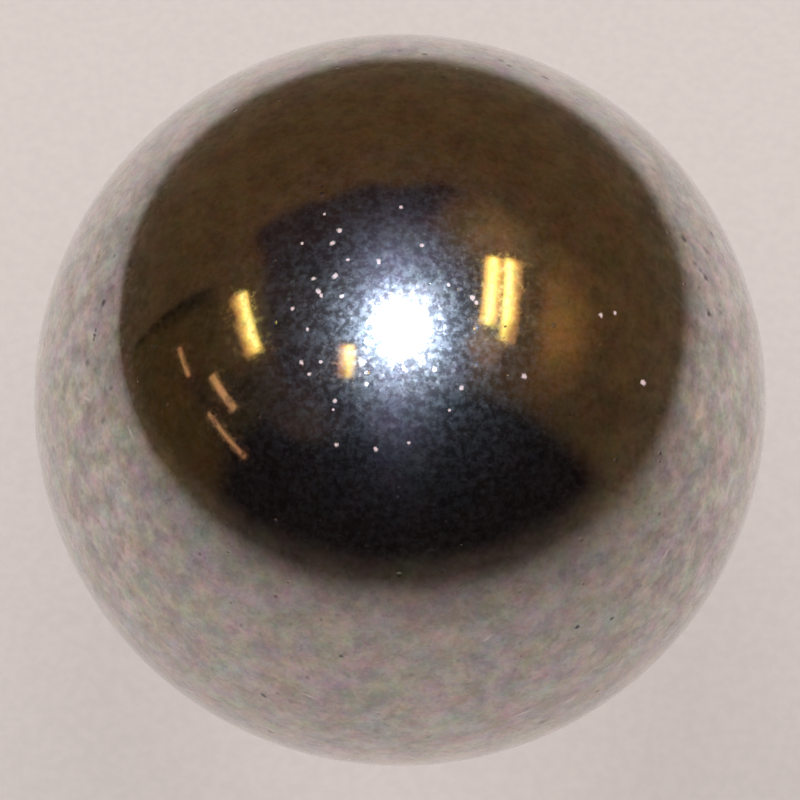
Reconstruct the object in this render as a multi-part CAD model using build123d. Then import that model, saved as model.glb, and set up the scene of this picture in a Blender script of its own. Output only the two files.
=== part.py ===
from build123d import *
import os

# A loose bearing-type ball of polished steel, as it leaves the last lapping:
# one solid sphere with no flat, hole, seam or flash left on it.
# Millimetres, +Z up. The origin is the ball's centre, from which every point
# of the surface lies at the same distance.

# Driving dimension: a stock size, one inch across.
BALL_DIAMETER = 25.4


def ball():
    """The whole ball, turned about Z, with its lowest point on -Z."""
    radius = BALL_DIAMETER / 2
    profile = make_face(
        [
            ThreePointArc((0, 0, -radius), (radius, 0, 0), (0, 0, radius)),
            Line((0, 0, radius), (0, 0, -radius)),
        ]
    )
    return revolve(profile, axis=Axis.Z)


os.makedirs("parts", exist_ok=True)
export_step(ball(), "parts/ball.step")
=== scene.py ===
import math

import bpy
import numpy as np
from mathutils import Matrix, Vector


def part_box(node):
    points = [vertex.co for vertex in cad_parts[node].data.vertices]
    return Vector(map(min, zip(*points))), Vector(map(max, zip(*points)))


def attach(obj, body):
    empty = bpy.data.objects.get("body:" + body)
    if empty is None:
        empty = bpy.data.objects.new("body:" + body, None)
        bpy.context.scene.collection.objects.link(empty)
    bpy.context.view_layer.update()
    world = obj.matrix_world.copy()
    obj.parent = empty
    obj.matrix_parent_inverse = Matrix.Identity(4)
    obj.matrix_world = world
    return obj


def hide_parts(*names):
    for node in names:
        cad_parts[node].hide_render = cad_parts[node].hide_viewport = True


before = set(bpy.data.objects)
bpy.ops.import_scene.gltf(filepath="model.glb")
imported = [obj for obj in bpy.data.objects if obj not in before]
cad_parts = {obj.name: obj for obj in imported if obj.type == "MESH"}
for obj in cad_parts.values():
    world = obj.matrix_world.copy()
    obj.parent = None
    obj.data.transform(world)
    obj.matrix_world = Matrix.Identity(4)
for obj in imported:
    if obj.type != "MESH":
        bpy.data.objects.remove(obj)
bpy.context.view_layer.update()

# A polished steel ball on a pale sheet of paper, in a dim brown studio with warm
# strip lamps and one small cold lamp close above the camera. The ball is a
# mirror, so its tones are those of what stands round it, and its own finish is in
# the fine flaws: stains, an oil film, marks, hairlines, pits, nicks and dust.
# Metres, +Z up. Azimuth 0 is the far side of the ball and 90 is its right side.

BODY = "root"
NODE = "ball"

# The CAD ball is faceted, so the smallest half of its box is the radius that
# stays inside it on every side.
BALL_LOW, BALL_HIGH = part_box(NODE)
BALL_CENTRE = (BALL_LOW + BALL_HIGH) / 2
BALL_RADIUS = min(BALL_HIGH - BALL_LOW) / 2
MM = 0.001

# The ball's mesh, with 2 x 6 x 127 x 127 triangles, and its nicks
PATCH_STEPS = 127
NICK_SEED = 7
NICK_COUNT = 46
NICK_LENGTH = (0.16 * MM, 0.42 * MM)
NICK_SLIMNESS = (0.35, 0.9)
NICK_DEPTH = (0.003 * MM, 0.010 * MM)

CAMERA_ELEVATION = math.radians(55)
CAMERA_DISTANCE = 12 * BALL_RADIUS
SENSOR = 36
BALL_SHARE_OF_FRAME = 0.915

# Colours of the finish
STEEL = (0.505, 0.466, 0.442)
DARK_SPOT = (0.05, 0.042, 0.045)
PALE_SCRATCH = (0.75, 0.71, 0.69)
PIT_FLOOR = (0.15, 0.09, 0.10)
PALE_DUST = (0.78, 0.56, 0.58)

# How many waves, cells or specks of each flaw there are to the metre
STAIN_SCALE = 900
SMUDGE_SCALE = 1500
PIT_SCALE = 2000
FILM_SCALE = 4300
FLECK_SCALE = 5200
RAGGED_SCALE = 7000


class Nodes:
    """Short calls that add shader nodes to one tree and join them."""

    def __init__(self, tree):
        self.tree = tree
        tree.nodes.clear()

    def add(self, kind, inputs=None, **settings):
        made = self.tree.nodes.new("ShaderNode" + kind)
        for name, value in settings.items():
            setattr(made, name, value)
        for key, value in (inputs or {}).items():
            self.put(made.inputs[key], value)
        return made

    def put(self, socket, value):
        if isinstance(value, bpy.types.NodeSocket):
            self.tree.links.new(value, socket)
        elif hasattr(value, "__len__") and socket.type == "RGBA":
            socket.default_value = (*value[:3], 1)
        else:
            socket.default_value = value

    def sum(self, kind, *values):
        made = self.add("Math", operation=kind)
        for socket, value in zip(made.inputs, values):
            self.put(socket, value)
        return made.outputs[0]

    def vector(self, kind, *values):
        made = self.add("VectorMath", operation=kind)
        for socket, value in zip(made.inputs, values):
            self.put(socket, value)
        return made.outputs["Value" if kind in ("LENGTH", "DISTANCE", "DOT_PRODUCT") else "Vector"]

    def blend(self, low, high, share):
        """A colour that goes from low to high as share goes from 0 to 1."""
        made = self.add("Mix", data_type="RGBA")
        self.put(made.inputs["Factor"], share)
        self.put(made.inputs[6], low)
        self.put(made.inputs[7], high)
        return made.outputs[2]

    def blend_number(self, low, high, share):
        made = self.add("Mix", data_type="FLOAT")
        for socket, number in zip(made.inputs, (share, None, low, high)):
            if number is not None:
                self.put(socket, number)
        return made.outputs[0]

    def step(self, value, start, end, low=0.0, high=1.0):
        """Goes smoothly from low to high as value goes from start to end."""
        made = self.add("MapRange", interpolation_type="SMOOTHSTEP")
        for socket, number in zip(made.inputs, (value, start, end, low, high)):
            self.put(socket, number)
        return made.outputs[0]

    def noise(self, coords, scale, detail=2.0, roughness=0.5):
        inputs = {"Vector": coords, "Scale": scale, "Detail": detail, "Roughness": roughness}
        return self.add("TexNoise", inputs).outputs["Fac"]


def new_material(name):
    material = bpy.data.materials.new(name)
    material.use_nodes = True
    return material, Nodes(material.node_tree)


def towards(azimuth, elevation):
    """The unit vector at an azimuth and elevation in degrees, azimuth 0 along +Y."""
    a, e = math.radians(azimuth), math.radians(elevation)
    return Vector((math.sin(a) * math.cos(e), math.cos(a) * math.cos(e), math.sin(e)))


def mesh_object(name, points, quads):
    mesh = bpy.data.meshes.new(name)
    mesh.from_pydata(points, [], quads)
    mesh.validate()
    mesh.shade_smooth()
    made = bpy.data.objects.new(name, mesh)
    bpy.context.scene.collection.objects.link(made)
    return made


# The ball

def sphere_patches(steps):
    """Unit vectors of a sphere in six square patches, and their quads.

    On a patch u and v run from -45 to 45 degrees, and the point lies along
    outward + across tan(u) + along tan(v). Points that patches share are merged.
    """
    angle = np.radians(np.linspace(-45, 45, steps + 1))
    u, v = np.meshgrid(np.tan(angle), np.tan(angle), indexing="ij")
    corner = np.arange(steps * (steps + 1)).reshape(steps, steps + 1)[:, :-1].ravel()
    quad = np.stack([corner, corner + steps + 1, corner + steps + 2, corner + 1], axis=1)
    points, quads = [], []
    for axis in range(3):
        for sign in (1, -1):
            patch = np.empty((u.size, 3))
            patch[:, axis] = sign
            patch[:, (axis + 1) % 3] = sign * u.ravel()
            patch[:, (axis + 2) % 3] = v.ravel()
            quads.append(quad + len(points) * u.size)
            points.append(patch)
    points = np.concatenate(points)
    points /= np.linalg.norm(points, axis=1)[:, None]
    _, first, merged = np.unique(
        np.round(points, 6), axis=0, return_index=True, return_inverse=True
    )
    return points[first], merged.ravel()[np.concatenate(quads)]


def nick_depths(directions):
    """How deep each point lies in the nicks, in metres.

    A nick is an oval bowl: depth times exp(-q squared), where q is the squared
    distance from its middle in half lengths and half widths.
    """
    random = np.random.default_rng(NICK_SEED)
    depth = np.zeros(len(directions))
    for _ in range(NICK_COUNT):
        middle, lean = random.normal(size=(2, 3))
        middle /= np.linalg.norm(middle)
        along = np.cross(middle, lean)
        along /= np.linalg.norm(along)
        across = np.cross(middle, along)
        half_length = random.uniform(*NICK_LENGTH)
        half_width = half_length * random.uniform(*NICK_SLIMNESS)
        deep = random.uniform(*NICK_DEPTH)
        q = (directions @ along * BALL_RADIUS / half_length) ** 2
        q += (directions @ across * BALL_RADIUS / half_width) ** 2
        bowl = deep * np.exp(-np.minimum(q, 9) ** 2)
        depth = np.maximum(depth, np.where(directions @ middle > 0, bowl, 0))
    return depth


def make_ball():
    """The ball's own surface: every point at the radius less its nick's depth."""
    directions, quads = sphere_patches(PATCH_STEPS)
    depth = nick_depths(directions)
    points = np.array(BALL_CENTRE) + directions * (BALL_RADIUS - depth)[:, None]
    ball = mesh_object("polished_ball", points, quads)
    # Each point's nick depth, also used for the painted shade inside the nicks
    ball.data.attributes.new("nick", "FLOAT", "POINT")
    shade = (depth / NICK_DEPTH[1]).astype(np.float32)
    ball.data.attributes["nick"].data.foreach_set("value", shade)
    return ball


# Marks and dust that the photo shows: azimuth, elevation, radius in mm
DARK_MARKS = (
    (86.2, 41.7, 0.14), (78.6, 32.0, 0.12), (91.7, 36.5, 0.15), (98.9, 35.1, 0.12),
    (77.8, 22.1, 0.11), (60.8, 31.0, 0.11), (-99.2, 38.4, 0.15), (-103.1, 35.4, 0.07),
    (-103.7, 34.9, 0.07), (-104.2, 34.5, 0.07),
    (-159, -1, 0.11), (-171, 13, 0.08), (-159, -15, 0.12), (146, 10, 0.1),
    (152, 12, 0.09), (148, -9, 0.1), (7, 58, 0.11), (26, 52, 0.13),
    (29, 53, 0.11), (37, 50, 0.15),
)
FAINT_MARKS = (
    (90.5, 39.3, 0.12), (91.0, 38.0, 0.13), (81.8, 29.6, 0.13), (84.8, 35.7, 0.15),
    (94.7, 32.3, 0.10), (96.1, 32.2, 0.10), (75.4, 38.7, 0.12), (95.4, 38.2, 0.08),
    (-86.3, 37.5, 0.08), (-87.4, 37.4, 0.09), (-88.5, 37.0, 0.08), (-106.8, 31.6, 0.09),
    (-117.8, 29.2, 0.15), (-115.3, 34.0, 0.10), (-109.1, 13.2, 0.12),
    (53, 34, 0.11), (69, 44, 0.1), (58, 42, 0.1), (-155, 14, 0.08),
    (-166, 7, 0.08), (157, -12, 0.17), (161, -12, 0.1), (20, 48, 0.14),
    (9, 47, 0.14),
)
DUST = (
    (-136.0, 77.2, 0.09), (-138.1, 75.1, 0.08), (-151.3, 74.1, 0.07), (-149.5, 71.1, 0.09),
    (-141.9, 69.2, 0.08), (-146.7, 67.9, 0.09), (-148.6, 67.6, 0.07), (-156.0, 68.6, 0.08),
    (-141.9, 63.8, 0.07), (-149.8, 62.3, 0.07), (-152.5, 57.5, 0.08), (-155.6, 56.4, 0.06),
    (-157.4, 58.6, 0.06), (-164.0, 53.8, 0.07), (-164.0, 52.5, 0.06), (-166.2, 47.6, 0.08),
    (-169.0, 60.0, 0.11), (170.3, 59.1, 0.08), (164.1, 55.7, 0.08), (168.1, 52.9, 0.06),
    (147.7, 54.2, 0.09), (151.2, 67.7, 0.09), (150.7, 66.8, 0.06), (158.2, 70.8, 0.06),
    (165.1, 77.7, 0.07), (-168.0, 75.2, 0.08), (-118.7, 77.3, 0.06), (-126.1, 72.1, 0.06),
    (178.1, 48.8, 0.06), (-174.8, 47.8, 0.07), (178.8, 84.4, 0.06), (-171.2, 57.0, 0.07),
    (123.4, 41.7, 0.11), (120.3, 53.6, 0.08), (116.8, 51.9, 0.07),
)
# Pale hairlines: azimuth and elevation of both ends
HAIRLINES = (
    (154.7, -7.6, 151.6, -6.5), (163.0, -5.8, 158.7, -5.1), (147.6, -2.5, 145.6, -2.2),
    (167.3, 15.1, 165.7, 16.3), (-110.7, 27.6, -113.2, 29.0), (-123.2, 32.8, -125.7, 32.2),
    (-165.1, 2.8, -167.5, 1.8), (135.4, 14.5, 133.0, 15.8),
)
HAIRLINE_HALF_WIDTH = 0.065 * MM


def nearest(n, place, spots):
    """How many of its own radii each point lies from the nearest spot, at most 9."""
    reach = 9.0
    for azimuth, elevation, radius in spots:
        middle = BALL_CENTRE + towards(azimuth, elevation) * BALL_RADIUS
        away = n.vector("DISTANCE", place, tuple(middle))
        reach = n.sum("MINIMUM", n.sum("MULTIPLY", away, 1 / (radius * MM)), reach)
    return reach


def nearest_line(n, place, lines):
    """How many half widths each point lies from the nearest hairline, at most 9.

    A hairline is a long oval: its share along is counted in half lengths.
    """
    reach = 9.0
    for azimuth, elevation, end_azimuth, end_elevation in lines:
        start = towards(azimuth, elevation) * BALL_RADIUS
        end = towards(end_azimuth, end_elevation) * BALL_RADIUS
        along = (end - start) / 2
        across = along.cross(start).normalized() / HAIRLINE_HALF_WIDTH
        away = n.vector("SUBTRACT", place, tuple(BALL_CENTRE + (start + end) / 2))
        share = n.vector("DOT_PRODUCT", away, tuple(along / along.length_squared))
        aside = n.vector("DOT_PRODUCT", away, tuple(across))
        oval = n.add("CombineXYZ", {"X": share, "Y": aside}).outputs[0]
        reach = n.sum("MINIMUM", n.vector("LENGTH", oval), reach)
    return reach


def polished_steel():
    """Lapped bearing steel: a near mirror with all of its fine flaws."""
    material, n = new_material("lapped_steel")
    place = n.add("TexCoord").outputs["Object"]

    # Faint stains and temper hues, from 0.1 to 2 mm across
    stain = n.noise(place, STAIN_SCALE, detail=4, roughness=0.8)
    shifted = n.vector("ADD", place, (1, 2, 3))
    hue = {"Vector": shifted, "Scale": STAIN_SCALE, "Detail": 3, "Roughness": 0.8}
    hue = n.add("TexNoise", hue).outputs["Color"]
    hue = n.vector("MULTIPLY_ADD", hue, (0.78, 0.78, 0.78), (0.61, 0.61, 0.61))
    steel = n.vector("MULTIPLY", hue, STEEL)
    steel = n.vector("MULTIPLY", steel, n.step(stain, 0.3, 0.7, 0.79, 1.22))
    patchy = n.noise(place, FILM_SCALE, detail=3, roughness=0.66)
    steel = n.vector("MULTIPLY", steel, n.step(patchy, 0.28, 0.46, 0.84, 1.0))

    # Soft smudges, plainest on the ball's left and right sides
    aside = n.sum("ABSOLUTE", n.add("SeparateXYZ", {"Vector": place}).outputs["X"])
    smudge = n.noise(place, SMUDGE_SCALE, detail=2, roughness=0.6)
    smudge = n.step(smudge, 0.3, 0.7, 0.80, 1.13)
    aside = n.step(aside, 0.45 * BALL_RADIUS, 0.8 * BALL_RADIUS)
    steel = n.vector("MULTIPLY", steel, n.blend_number(1.0, smudge, aside))

    # Dark marks, and painted shade in the nicks, darker the deeper they are
    ragged = n.step(n.noise(place, RAGGED_SCALE, detail=2), 0.3, 0.7, 0.7, 1.3)
    dark = n.sum("MULTIPLY", nearest(n, place, DARK_MARKS), ragged)
    dark = n.step(dark, 0.2, 1.4, 0.85, 0)
    faint = n.sum("MULTIPLY", nearest(n, place, FAINT_MARKS), ragged)
    faint = n.step(faint, 0.1, 1.5, 0.45, 0)
    nick = n.add("Attribute", attribute_name="nick").outputs["Fac"]
    # Painted shade inside the nicks, by their depth
    nick = n.step(nick, 0.2, 0.9, 0, 0.25)
    marks_and_nick_shade = n.sum("MAXIMUM", dark, n.sum("MAXIMUM", faint, nick))
    steel = n.blend(steel, DARK_SPOT, marks_and_nick_shade)

    # Pale hairlines
    scratch = n.sum("MULTIPLY", nearest_line(n, place, HAIRLINES), ragged)
    scratch = n.step(scratch, 0.2, 1.3, 0.8, 0)
    steel = n.blend(steel, PALE_SCRATCH, scratch)

    # Rough pits about 0.15 mm across, most of them faint, which catch the light
    shifted = n.vector("ADD", place, (3, 1, 2))
    pits = n.add("TexVoronoi", {"Vector": shifted, "Scale": PIT_SCALE})
    chosen = n.add("SeparateColor", {"Color": pits.outputs["Color"]}).outputs
    size = n.step(chosen[1], 0, 1, 0.10, 0.20)
    reach = n.sum("DIVIDE", pits.outputs["Distance"], size)
    pit = n.step(reach, 0.3, 1.1, 0.7, 0)
    pit = n.sum("MULTIPLY", pit, n.step(chosen[0], 0.55, 1.15))
    steel = n.blend(steel, PIT_FLOOR, n.sum("MULTIPLY", pit, 0.9))

    # Dust, which is pale and matt
    dust = n.sum("MULTIPLY", nearest(n, place, DUST), ragged)
    dust = n.step(dust, 0.35, 1.25, 1, 0)
    steel = n.blend(steel, PALE_DUST, dust)

    # An oil film in tiny patches, which scatters a haze round each lamp
    film = n.step(patchy, 0.40, 0.64, 0.25, 0.88)

    # Tiny matte flecks, which take on the stains' hues near a lamp
    fleck = n.noise(place, FLECK_SCALE, detail=2, roughness=0.6)
    fleck = n.step(fleck, 0.45, 0.72, 0, 0.075)
    rough = n.sum("ADD", n.step(stain, 0.3, 0.7, 0.05, 0.075), fleck)
    rough = n.sum("MULTIPLY_ADD", n.sum("MAXIMUM", pit, dust), 0.22, rough)
    hollow = n.sum("MULTIPLY", pit, -1.0)
    dent = n.add("Bump", {"Strength": 0.5, "Distance": 0.02 * MM, "Height": hollow})
    shader = n.add(
        "BsdfPrincipled",
        {
            "Base Color": steel,
            "Metallic": n.sum("SUBTRACT", 1.0, dust),
            "Roughness": rough,
            "Normal": dent.outputs["Normal"],
            "Coat Weight": film,
            "Coat Roughness": 0.30,
            "Coat IOR": 1.5,
        },
    )
    n.add("OutputMaterial", {"Surface": shader.outputs[0]})
    return material


# The stage: where sheet, bench and studio meet they share the horizon's colours
HORIZON = (0.122, 0.079, 0.040)
FRONT_HORIZON = (0.062, 0.045, 0.034)

FLOOR_HALF_WIDTH = 110 * BALL_RADIUS
SHEET_OWN_LIGHT = 0.6
PAPER_GREY = (0.675, 0.600, 0.573)
PAPER_PALE = (0.705, 0.628, 0.599)
FIBRE_SCALE = 2500

FILL = (1, 1, 1)
CEILING_LOW = (0.116, 0.067, 0.027)
CEILING_HIGH = (0.104, 0.056, 0.020)
RECESS = (0.033, 0.017, 0.015)
WALL_LINE = (0.018, 0.010, 0.004)
WALL = (0.066, 0.037, 0.010)
WALL_FOOT = (0.036, 0.021, 0.009)
DUSK = (0.034, 0.022, 0.011)
AMBER = (0.32, 0.155, 0.035)
BESIDE_STRIPS = (0.27, 0.15, 0.05)
UNDER_STRIPS = (0.30, 0.175, 0.09)
DARK_FRONT = (0.009, 0.0055, 0.005)
FRONT_CORNER = (0.055, 0.032, 0.024)
COLD_GLOW = (0.40, 0.43, 0.68)


def make_floor():
    """A square far wider than the view, level with the ball's lowest point."""
    level = BALL_CENTRE.z - BALL_RADIUS
    across = np.array([[-1, -1], [1, -1], [1, 1], [-1, 1]]) * FLOOR_HALF_WIDTH
    points = np.column_stack([across, np.full(4, level)])
    floor = mesh_object("floor", points, [(0, 1, 2, 3)])
    return floor


def pale_sheet():
    """A pale sheet, wider than deep, that fades softly into a dark brown bench; the fade is partly
    a painted fall-off of light.

    Lengths are in ball radii, and the share of sheet is s / (s + 1), where s is a
    power of the edge's distance over the point's own.
    """
    material, n = new_material("pale_sheet")
    place = n.add("TexCoord").outputs["Object"]
    flat = n.vector("MULTIPLY", place, (1 / BALL_RADIUS, 1 / BALL_RADIUS, 0))
    part = n.add("SeparateXYZ", {"Vector": flat}).outputs
    aim = n.add("SeparateXYZ", {"Vector": n.vector("NORMALIZE", flat)}).outputs
    reach = n.vector("LENGTH", flat)
    nearness = n.sum("DIVIDE", 1.0, n.sum("MAXIMUM", reach, 0.01))

    # The edge lies farther off at the sides, most of all at the left, and the
    # light on the sheet fades more slowly towards the front than towards the back
    deep = n.sum("MULTIPLY", aim["Y"], aim["Y"])
    side = n.sum("MULTIPLY_ADD", aim["X"], 0.014, 0.038)
    edge = n.blend_number(side, 0.086, deep)
    front = n.sum("MULTIPLY", n.step(aim["Y"], 0.0, -0.5), n.step(aim["X"], -0.9, -0.3))
    edge = n.sum("MULTIPLY_ADD", front, 0.028, edge)
    back = n.sum("MULTIPLY", aim["X"], n.step(aim["Y"], 0.0, 0.5))
    edge = n.sum("MULTIPLY_ADD", back, 0.022, edge)
    front = n.sum("MULTIPLY", n.step(aim["Y"], 0.1, -0.5), n.step(aim["X"], 0.0, 0.8))
    edge = n.sum("MULTIPLY_ADD", front, 0.04, edge)
    power = n.step(aim["Y"], 0.2, 0.95, 1.9, 5.0)
    share = n.sum("POWER", n.sum("DIVIDE", nearness, edge), power)
    sheet = n.sum("DIVIDE", share, n.sum("ADD", share, 1.0))

    fibre = n.noise(place, FIBRE_SCALE, detail=3)
    paper = n.blend(PAPER_GREY, PAPER_PALE, n.step(fibre, 0.3, 0.7))

    # Painted light and shade in the sheet's colour: dimmer in front and far to the
    # left, a painted pool of light round the ball, and a painted contact shadow
    # where the two touch
    # Painted shade towards the front
    painted_light = n.sum("MULTIPLY_ADD", part["X"], -0.15, part["Y"])
    painted_light = n.step(painted_light, -2.5, 0.5, 0.80, 1.0)
    # A painted pool of light round the ball
    under = n.vector("LENGTH", n.vector("MULTIPLY", flat, (1.4, 0.8, 0)))
    painted_light = n.sum("ADD", painted_light, n.step(under, 1.3, 0.2, 0, 0.26))
    # A painted contact shadow right under the ball
    painted_light = n.sum("MULTIPLY", painted_light, n.step(reach, 0.05, 0.5, 0.45, 1.0))
    # Painted shade far to the left
    painted_light = n.sum("MULTIPLY", painted_light, n.step(part["X"], -2.0, -9.0, 1.0, 0.80))
    paper = n.vector("MULTIPLY", paper, painted_light)
    # The bench is darker towards the front, partly painted shade
    bench = n.blend(HORIZON, FRONT_HORIZON, n.step(aim["Y"], -0.35, -0.75))
    colour = n.blend(bench, paper, sheet)
    shader = n.add(
        "BsdfPrincipled",
        {
            "Base Color": n.vector("MULTIPLY", colour, (1 - SHEET_OWN_LIGHT,) * 3),
            "Roughness": 0.9,
            "Specular IOR Level": 0.0,
            "Emission Color": n.vector("MULTIPLY", colour, (SHEET_OWN_LIGHT,) * 3),
            "Emission Strength": 1.0,
        },
    )
    n.add("OutputMaterial", {"Surface": shader.outputs[0]})
    return material


def light_studio():
    """A dim brown studio where it is seen or mirrored, and a pale fill for matt things.

    A direction with height z meets a ceiling one unit up at x / z and y / z.
    """
    world = bpy.data.worlds.new("studio")
    bpy.context.scene.world = world
    world.use_nodes = True
    n = Nodes(world.node_tree)
    seen = n.add("TexCoord").outputs["Generated"]
    part = n.add("SeparateXYZ", {"Vector": seen}).outputs
    height = n.sum("MAXIMUM", part["Z"], 0.02)
    height = n.add("CombineXYZ", {"X": height, "Y": height, "Z": 1.0}).outputs[0]
    place = n.vector("DIVIDE", seen, height)
    wobble = n.add("TexNoise", {"Vector": seen, "Scale": 4.0, "Detail": 3.0}).outputs["Color"]
    wobble = n.vector("MULTIPLY_ADD", wobble, (0.3, 0.3, 0), (-0.15, -0.15, 0))
    place = n.vector("ADD", place, wobble)
    above = n.add("SeparateXYZ", {"Vector": place}).outputs
    across, along = above["X"], above["Y"]

    # The brown ceiling, paler towards the horizon and dimmer at the right front
    upper = n.blend(CEILING_LOW, CEILING_HIGH, n.step(part["Z"], 0.25, 0.6))
    upper = n.blend(HORIZON, upper, n.step(part["Z"], 0.0, 0.28))
    upper = n.vector("MULTIPLY", upper, n.step(part["Y"], -0.45, 0.2, 0.72, 1.0))
    upper = n.vector("MULTIPLY", upper, n.step(part["X"], -0.95, -0.6, 0.84, 1.0))

    # A darker recess in its middle, and a dark wall at the left below a black line
    recess = n.sum("MULTIPLY", n.step(along, 0.74, 0.62), n.step(across, -0.98, -0.78))
    recess = n.sum("MULTIPLY", recess, n.step(across, 0.48, 0.34))
    tone = n.blend(upper, RECESS, recess)
    line = n.sum("MULTIPLY_ADD", across, 0.18, along)
    wall = n.blend(WALL_LINE, WALL, n.step(line, 0.17, -0.22))
    foot = n.sum("MULTIPLY", n.step(across, -3.2, -2.4), n.step(line, -0.6, -1.0))
    wall = n.blend(wall, WALL_FOOT, foot)
    wall = n.blend(HORIZON, wall, n.step(part["Z"], 0.0, 0.09))
    wall_share = n.sum("MULTIPLY", n.step(line, 0.20, 0.12), n.step(across, -1.30, -1.60))
    tone = n.blend(tone, wall, wall_share)

    # The ceiling darkens towards the front of the left strip
    dusk = n.sum("MULTIPLY", n.step(along, -0.25, -0.6), n.step(across, -0.75, -0.95))
    dusk = n.sum("MULTIPLY", dusk, n.step(across, -1.75, -1.5))
    tone = n.blend(tone, DUSK, dusk)

    # Warm light on the ceiling round the right strips
    amber = n.sum("MULTIPLY", n.step(across, 0.70, 1.15), n.step(across, 2.0, 1.0))
    off_middle = n.sum("ABSOLUTE", n.sum("ADD", along, 0.05))
    amber = n.sum("MULTIPLY", amber, n.step(off_middle, 0.8, 0.0))
    tone = n.blend(tone, AMBER, amber)
    flat = n.vector("MULTIPLY", place, (1, 1, 0))
    beside = n.vector("DISTANCE", flat, (0.50, 0.38, 0))
    tone = n.blend(tone, BESIDE_STRIPS, n.step(beside, 0.40, 0.0))
    under = n.vector("DISTANCE", flat, (0.52, -0.26, 0))
    tone = n.blend(tone, UNDER_STRIPS, n.step(under, 0.20, 0.08))

    # The dark front, with a dim warm corner at its left
    corner = n.step(n.vector("DISTANCE", flat, (-0.8, -0.78, 0)), 0.5, 0.15)
    front = n.blend(DARK_FRONT, FRONT_CORNER, corner)
    front_share = n.step(part["X"], -0.86, -0.76, 0.3, 1.0)
    front_share = n.sum("MULTIPLY", n.step(part["Y"], -0.42, -0.56), front_share)
    tone = n.blend(tone, front, front_share)
    low = n.blend(HORIZON, FRONT_HORIZON, n.step(part["Y"], -0.35, -0.75))
    low_front = n.sum("MULTIPLY", n.step(part["Z"], 0.16, -0.02), n.step(part["Y"], -0.3, -0.5))
    tone = n.blend(tone, low, low_front)

    # The cold lamp's glow, taller than wide
    glow = n.vector("MULTIPLY_ADD", seen, (2.2, 1.12, 0), (0, 0.21, 0))
    glow = n.step(n.vector("LENGTH", glow), 1.0, 0.0)
    glow = n.sum("MULTIPLY", n.sum("MULTIPLY", glow, glow), n.step(part["Z"], 0.0, 0.3))
    tone = n.blend(tone, COLD_GLOW, glow)

    ray = n.add("LightPath").outputs
    looked_at = n.sum("ADD", ray["Is Camera Ray"], ray["Is Glossy Ray"])
    looked_at = n.sum("ADD", looked_at, ray["Is Transmission Ray"])
    light = n.blend(FILL, tone, looked_at)
    background = n.add("Background", {"Color": light, "Strength": 1.0})
    n.add("OutputWorld", {"Surface": background.outputs[0]})

    # Lamp sampling would see the fill where the ball should mirror the studio
    world.cycles.sampling_method = "NONE"


# Strip lamps: name, centre, long side's direction, then length, width, the core's
# place across the width, strength, and the share of the length that dims
STRIP_LAMPS = (
    ("left_strip", (-0.434, -0.031, 0.413), (-0.10, 1, -0.04), 0.197, 0.0605, 0.72, 1.15, 0.12),
    ("inner_strip", (0.268, 0.012, 0.536), (0.02, 1, -0.04), 0.225, 0.058, 0.46, 1.55, 0.08),
    ("outer_strip", (0.323, -0.003, 0.506), (-0.02, 1, -0.01), 0.27, 0.0576, 0.25, 1.5, 0.35),
    ("small_strip", (-0.165, -0.226, 0.531), (0.05, 0.91, 0.42), 0.104, 0.053, 0.65, 1.35, 0.6),
)
# A strip's light by its share of the width away from the core
STRIP_TONES = (
    (0.06, (2.3, 2.3, 0.8, 1)),
    (0.16, (1.9, 1.55, 0.34, 1)),
    (0.32, (1.35, 0.80, 0.17, 1)),
    (0.62, (0.42, 0.18, 0.055, 1)),
)

# Salmon slits: name, centre, long side's direction, length, width and radiance
SALMON = (1.0, 0.5, 0.22)
SLIT_LAMPS = (
    ("upper_slit", (-0.557, -0.036, 0.221), (-0.08, 1, -0.04), 0.089, 0.014, 0.75),
    ("middle_slit", (-0.493, -0.179, 0.291), (-0.36, 0.93, -0.05), 0.127, 0.022, 0.95),
    ("lower_slit", (-0.484, -0.277, 0.222), (-0.48, 0.88, 0.04), 0.173, 0.0126, 0.8),
)

COLD_CENTRE = (0.005, -0.144, 0.5823)
COLD_LENGTH, COLD_WIDTH = 0.10, 0.07
COLD_WHITE = (0.61, 0.77, 1.0)
COLD_WATTS = 17.0


def hang_lamp(name, centre, lie, length, width, shape="RECTANGLE"):
    """A flat lamp that faces the ball with its long side along lie."""
    lamp = bpy.data.lights.new(name, "AREA")
    lamp.shape = shape
    lamp.size, lamp.size_y = width, length
    made = bpy.data.objects.new(name, lamp)
    back = Vector(centre).normalized()
    side = Vector(lie).cross(back).normalized()
    made.matrix_world = Matrix((side, back.cross(side), back)).transposed().to_4x4()
    made.location = Vector(centre) + BALL_CENTRE
    bpy.context.scene.collection.objects.link(made)
    return made


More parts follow.
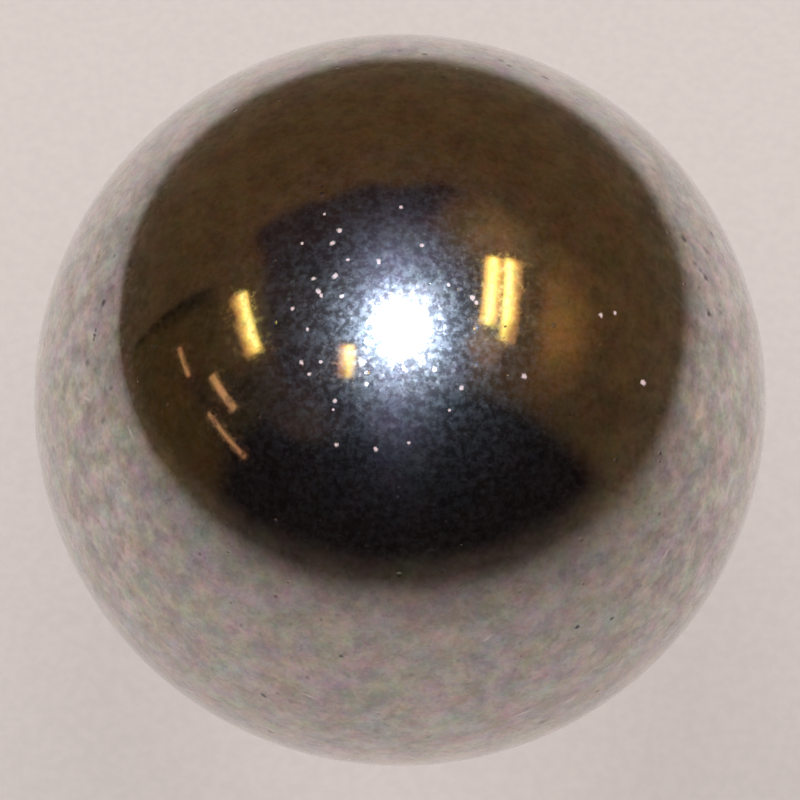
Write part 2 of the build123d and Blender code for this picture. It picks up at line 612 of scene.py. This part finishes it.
def light_strip(lamp, core, strength, dim_end):
    """Gives a lamp a pale core at a share of its width, and dims its lower end."""
    lamp.use_nodes = True
    n = Nodes(lamp.node_tree)
    face = n.add("NewGeometry").outputs["Parametric"]
    part = n.add("SeparateXYZ", {"Vector": face}).outputs
    patchy = n.noise(n.vector("MULTIPLY", face, (2, 5, 1)), 1.0)
    off_core = n.sum("ABSOLUTE", n.sum("SUBTRACT", part["X"], core))
    off_core = n.sum("ADD", off_core, n.step(patchy, 0.3, 0.7, -0.05, 0.05))
    off_core = n.sum("ADD", off_core, n.step(part["Y"], dim_end, -0.1, 0, 0.35))
    off_core = n.sum("ADD", off_core, n.step(part["Y"], 0.93, 1.03, 0, 0.25))
    glow = n.add("ValToRGB", {"Fac": off_core})
    ramp = glow.color_ramp.elements
    for stop, (share, tone) in zip((ramp[0], ramp[1]), (STRIP_TONES[0], STRIP_TONES[-1])):
        stop.position = share
        stop.color = tone
    for share, tone in STRIP_TONES[1:-1]:
        ramp.new(share).color = tone
    emission = n.add("Emission", {"Color": glow.outputs["Color"], "Strength": strength})
    n.add("OutputLight", {"Surface": emission.outputs[0]})


def hang_lamps():
    for name, centre, lie, length, width, core, strength, dim_end in STRIP_LAMPS:
        strip = hang_lamp(name, centre, lie, length, width).data
        strip.energy = math.pi * length * width
        light_strip(strip, core, strength, dim_end)
    for name, centre, lie, length, width, radiance in SLIT_LAMPS:
        slit = hang_lamp(name, centre, lie, length, width).data
        slit.energy = radiance * math.pi * length * width
        slit.color = SALMON
    cold = hang_lamp("cold_lamp", COLD_CENTRE, (0, 1, 0), COLD_LENGTH, COLD_WIDTH, "ELLIPSE")
    cold.data.energy = COLD_WATTS
    cold.data.color = COLD_WHITE
    cold.visible_diffuse = False


def place_camera():
    """Looks down at the ball, which fills the photograph's share of the frame."""
    camera = bpy.data.cameras.new("camera")
    spread = math.tan(math.asin(BALL_RADIUS / CAMERA_DISTANCE))
    camera.sensor_width = SENSOR
    camera.lens = SENSOR / 2 * BALL_SHARE_OF_FRAME / spread
    camera.clip_start = 0.01
    made = bpy.data.objects.new("camera", camera)
    back = Vector((0, -math.cos(CAMERA_ELEVATION), math.sin(CAMERA_ELEVATION)))
    made.location = BALL_CENTRE + back * CAMERA_DISTANCE
    made.rotation_mode = "QUATERNION"
    made.rotation_quaternion = (-back).to_track_quat("-Z", "Y")
    bpy.context.scene.collection.objects.link(made)
    bpy.context.scene.camera = made


ball = make_ball()
ball.data.materials.append(polished_steel())
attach(ball, BODY)
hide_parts(NODE)

make_floor().data.materials.append(pale_sheet())
light_studio()
hang_lamps()
place_camera()
bpy.context.scene.view_settings.view_transform = "Standard"
